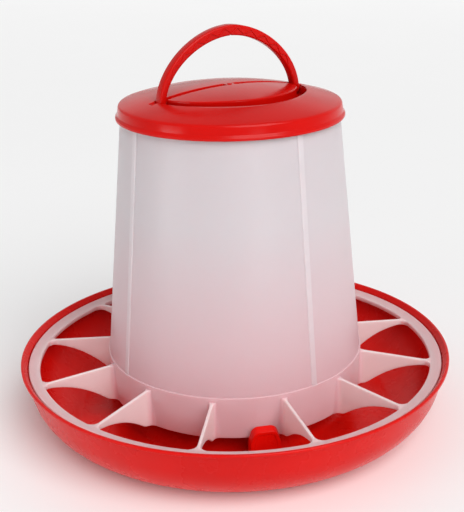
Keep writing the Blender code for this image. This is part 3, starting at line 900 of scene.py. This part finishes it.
def slot_tool(lid, bail, spans, width, depth, mouth):
    """Straight solids along the bail's axis, deep enough at their ends for the pins."""
    bm = bmesh.new()
    pin_floor = BAIL_AXIS_HEIGHT - bail.pin_radius - 0.3 * MM - (depth - lid.line_depth)
    for start, end in spans:
        rings = []
        for k in range(SLOT_STEPS + 1):
            u = start + (end - start) * k / SLOT_STEPS
            floor = dome(lid, abs(u)) - depth
            if abs(u) > bail.inner_width:
                floor = min(floor, pin_floor)
            left = [(u, -width / 2, floor)]
            left += [(u, -width / 2 - extra, dome(lid, abs(u)) + rise) for rise, extra in mouth]
            right = [(u, -y, z) for _, y, z in reversed(left)]
            rings.append(left + right)
        part = bmesh.new()
        loft(part, rings)
        append(bm, part, [turn(BAIL_TURN)])
    return bm


def gate_mark(lid):
    """The small ring left by the mould's gate on the bridge in the middle of the slot."""
    bm = bmesh.new()
    base = lid.apex_height - 0.5 * MM
    outline = rounded([(0.0, base + 0.9 * MM), (1.5 * MM, base + 1.1 * MM), (1.6 * MM, base),
                       (0.0, base)], {1: 0.3 * MM}, steps=3)
    turned(bm, outline, 24, closed=False)
    return bm


class FEEDER_OT_lid(bpy.types.Operator):
    """Build the domed lid with its skirt, curved groove and pin slot"""
    bl_idname = "feeder.lid"
    bl_label = "Lid"

    def execute(self, context):
        lid = context.scene.feeder_lid
        bail = context.scene.feeder_bail
        bm = bmesh.new()
        turned(bm, lid_outline(lid), LID_FACETS, closed=False)
        item = object_from("lid_moulding", bm)
        floor = BAIL_AXIS_HEIGHT - bail.foot_radius - 0.7 * MM
        wall = 1.7 * MM  # under and beside the groove and the slot
        # Mouths of the cuts: (rise above the dome, extra width), from below the dome upwards.
        buried = [(-1.0 * MM, 0.0)]
        mouth = [(-0.7 * MM, 0.0), (-0.25 * MM, 0.12 * MM), (0.0, 0.45 * MM), (0.6 * MM, 1.4 * MM)]
        sloped = [(-1.9 * MM, 0.0), (-1.0 * MM, 0.5 * MM), (-0.35 * MM, 1.4 * MM),
                  (0.0, 2.6 * MM), (0.5 * MM, 5.0 * MM)]
        inner = [(-0.9 * MM, 0.0)] + mouth
        whole = lid.line_end + wall
        line = [(-lid.line_end, -lid.line_bridge), (lid.line_bridge, lid.line_end)]
        combine(item, [
            (groove_tool(lid, bail, lid.groove_gap + wall, floor - wall, {-1: buried, 1: buried}),
             "UNION"),
            (slot_tool(lid, bail, [(-whole, whole)], lid.line_width + 2 * wall,
                       lid.line_depth + wall, buried), "UNION"),
            (groove_tool(lid, bail, lid.groove_gap, floor, {-1: inner, 1: sloped}), "DIFFERENCE"),
            (slot_tool(lid, bail, line, lid.line_width, lid.line_depth, mouth), "DIFFERENCE"),
            (gate_mark(lid), "UNION"),
        ])
        finish = context.scene.feeder_finish
        settle(item, "lid", "lid",
               red_polypropylene("lid_polypropylene", 0.18, finish.red, finish.red_deep))
        return {"FINISHED"}


# ---------------------------------------------------------------- bail

BAIL_STEPS = 96


def bail_solid(bail):
    """The arch, swept with a chamfered section and standing in the XZ plane."""
    half = bail.depth / 2
    cut = bail.chamfer
    corners = [(1, 0, half - cut), (1, cut, half), (-1, cut, half), (-1, 0, half - cut),
               (-1, 0, cut - half), (-1, cut, -half), (1, cut, -half), (1, 0, cut - half)]
    rings = []
    for t in arch_angles(BAIL_STEPS):
        ring = []
        for side, inset, depth in corners:
            point = arch_point(bail, t, side, -inset)
            ring.append((point.x, depth, point.y))
        rings.append(ring)
    bm = bmesh.new()
    loft(bm, rings)
    folds = [e for e in bm.edges if e.is_manifold and e.calc_face_angle(0.0) > math.radians(25)]
    soften(bm, folds, 0.28 * MM)
    return bm


def feet_solid(bail):
    """Both feet: a round boss at the leg's end and a pin that points outward."""
    bm = bmesh.new()
    inner = bail.inner_width + 0.05 * MM
    outer = bail.outer_width - 0.05 * MM
    outline = rounded([(0.0, inner), (bail.foot_radius, inner), (bail.foot_radius, outer),
                       (bail.pin_radius, outer), (bail.pin_radius, bail.pin_end),
                       (0.0, bail.pin_end)],
                      {1: 0.3 * MM, 2: 0.3 * MM, 3: 0.3 * MM, 4: 0.3 * MM}, steps=3)
    for side in (1, -1):
        part = bmesh.new()
        verts = [part.verts.new((side * u, 0.0, r)) for r, u in outline]
        edges = [part.edges.new(pair) for pair in zip(verts, verts[1:])]
        bmesh.ops.spin(part, geom=verts + edges, cent=(0, 0, 0), axis=(1, 0, 0),
                       angle=2 * math.pi, steps=48, use_merge=True)
        bmesh.ops.remove_doubles(part, verts=part.verts, dist=MERGE_DISTANCE)
        bmesh.ops.recalc_face_normals(part, faces=part.faces)
        append(bm, part)
    return bm


def zigzag_solid(bail):
    """A raised zigzag on both faces of the arch, one stroke from edge to edge per half tooth."""
    first = math.radians(27)
    turns = 2 * bail.relief_teeth
    corners = []
    for i in range(turns + 1):
        t = first + (math.pi - 2 * first) * i / turns
        side = -1 if i % 2 == 0 else 1
        corners.append(arch_point(bail, t, side, -1.5 * MM))
    half = bail.relief_width / 2
    surface = bail.depth / 2
    bm = bmesh.new()
    for face in (1, -1):
        root, crest = face * (surface - 0.4 * MM), face * (surface + bail.relief_height)
        rings = []
        for i, point in enumerate(corners):
            before = corners[max(i - 1, 0)]
            after = corners[min(i + 1, turns)]
            incoming = (point - before).normalized() if i > 0 else (after - point).normalized()
            outgoing = (after - point).normalized() if i < turns else incoming
            across = Vector((-incoming.y, incoming.x)) + Vector((-outgoing.y, outgoing.x))
            across.normalize()
            mitre = half / max(across.dot(Vector((-incoming.y, incoming.x))), 0.3)
            section = [(-1.0, root), (-0.35, crest), (0.35, crest), (1.0, root)]
            places = [(point + across * mitre * share, depth) for share, depth in section]
            rings.append([(place.x, depth, place.y) for place, depth in places])
        part = bmesh.new()
        loft(part, rings)
        append(bm, part)
    return bm


def notch_tool(bail):
    """A small round notch under the crown, where a hanging cord settles."""
    bm = bmesh.new()
    radius = 0.9 * MM
    bmesh.ops.create_cone(bm, cap_ends=True, segments=12, radius1=radius, radius2=radius,
                          depth=bail.depth * 1.2)
    bmesh.ops.rotate(bm, matrix=Matrix.Rotation(math.pi / 2, 3, "X"), verts=bm.verts)
    bmesh.ops.translate(bm, vec=(0, 0, bail.inner_height), verts=bm.verts)
    return bm


class FEEDER_OT_bail(bpy.types.Operator):
    """Build the folding bail with its pivot pins and zigzag relief"""
    bl_idname = "feeder.bail"
    bl_label = "Bail handle"

    def execute(self, context):
        bail = context.scene.feeder_bail
        item = object_from("bail_moulding", bail_solid(bail))
        combine(item, [(feet_solid(bail), "UNION"), (zigzag_solid(bail), "UNION"),
                       (notch_tool(bail), "DIFFERENCE")])
        item.data.transform(Matrix.Translation((0, 0, BAIL_AXIS_HEIGHT)) @ turn(BAIL_TURN))
        finish = context.scene.feeder_finish
        settle(item, "bail_handle", "bail",
               red_polypropylene("bail_polypropylene", 0.24, finish.red, finish.red_deep))
        return {"FINISHED"}


# ---------------------------------------------------------------- stage

def studio_light(name, kind, place, target, power):
    """A light that faces a target from a place."""
    data = bpy.data.lights.new(name, kind)
    data.energy = power
    item = bpy.data.objects.new(name, data)
    bpy.context.scene.collection.objects.link(item)
    item.location = place
    item.rotation_euler = (Vector(target) - Vector(place)).to_track_quat("-Z", "Y").to_euler()
    return item


def soft_panel(name, place, target, size, power):
    """A glowing panel of the given width and height that isn't seen itself."""
    item = studio_light(name, "AREA", place, target, power)
    item.visible_camera = False
    item.data.shape = "RECTANGLE"
    item.data.size = size[0]
    item.data.size_y = size[1]


def camera_matrix(stage, rim_height):
    """The camera stands to the right of -Y, looks at the axis and down, and leans a little."""
    forward = Vector((0.0, math.cos(stage.camera_pitch), -math.sin(stage.camera_pitch)))
    right = Vector((1.0, 0.0, 0.0))
    up = right.cross(forward)
    c, s = math.cos(stage.camera_roll), math.sin(stage.camera_roll)
    lean_right = right * c + up * s
    lean_up = up * c - right * s
    matrix = Matrix((lean_right, lean_up, -forward)).transposed().to_4x4()
    matrix.translation = (0.0, -stage.camera_distance, rim_height + stage.camera_rise)
    return turn(stage.camera_azimuth) @ matrix


class FEEDER_OT_stage(bpy.types.Operator):
    """Set up the pale studio floor, the soft lights and the camera"""
    bl_idname = "feeder.stage"
    bl_label = "Stage"

    def execute(self, context):
        scene = context.scene
        stage = scene.feeder_stage
        bm = bmesh.new()
        bmesh.ops.create_grid(bm, x_segments=2, y_segments=2, size=stage.floor_size)
        floor = object_from("studio_floor", bm)
        floor.location.z = -0.1 * MM
        floor.data.materials.append(studio_floor())
        world = scene.world or bpy.data.worlds.new("studio")
        scene.world = world
        world.use_nodes = True
        background = world.node_tree.nodes["Background"]
        background.inputs["Color"].default_value = (1.0, 1.0, 1.0, 1.0)
        background.inputs["Strength"].default_value = stage.sky
        key = studio_light("key_light", "SUN", (0.55, -0.65, 0.82), (0.0, 0.0, 0.0), stage.key)
        key.data.angle = math.radians(50)
        soft_panel("back_panel", (0.4, 3.6, 1.25), (0.0, 0.0, 0.16), (7.0, 1.6), 10.0)
        soft_panel("window_light", (-0.63, -0.58, 0.23), (-0.02, -0.07, 0.218), (0.32, 0.11), 0.8)
        soft_panel("front_light", (0.43, -0.62, 0.21), (0.02, -0.07, 0.2), (0.16, 0.12), 0.30)
        data = bpy.data.cameras.new("camera")
        data.lens = stage.camera_lens
        data.shift_x = stage.camera_shift
        data.clip_start = 0.01
        camera = bpy.data.objects.new("camera", data)
        scene.collection.objects.link(camera)
        camera.matrix_world = camera_matrix(stage, scene.feeder_pan.rim_height)
        scene.camera = camera
        scene.view_settings.view_transform = "Standard"
        return {"FINISHED"}


class FEEDER_PT_panel(bpy.types.Panel):
    """Sidebar list of the feeder's pieces"""
    bl_idname = "FEEDER_PT_panel"
    bl_label = "Poultry Feeder"
    bl_space_type = "VIEW_3D"
    bl_region_type = "UI"
    bl_category = "Feeder"

    def draw(self, context):
        for operator in OPERATORS:
            self.layout.operator(operator.bl_idname)


OPERATORS = (FEEDER_OT_pan, FEEDER_OT_hopper, FEEDER_OT_lid, FEEDER_OT_bail, FEEDER_OT_stage)


def register():
    for name, group in SETTINGS.items():
        bpy.utils.register_class(group)
        setattr(bpy.types.Scene, name, PointerProperty(type=group))
    for operator in OPERATORS:
        bpy.utils.register_class(operator)
    bpy.utils.register_class(FEEDER_PT_panel)


def unregister():
    bpy.utils.unregister_class(FEEDER_PT_panel)
    for operator in reversed(OPERATORS):
        bpy.utils.unregister_class(operator)
    for name, group in reversed(SETTINGS.items()):
        delattr(bpy.types.Scene, name)
        bpy.utils.unregister_class(group)


def main():
    """Build every piece and the stage."""
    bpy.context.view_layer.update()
    register()
    bpy.ops.feeder.pan()
    bpy.ops.feeder.hopper()
    bpy.ops.feeder.lid()
    bpy.ops.feeder.bail()
    bpy.ops.feeder.stage()


if __name__ == "__main__":
    main()
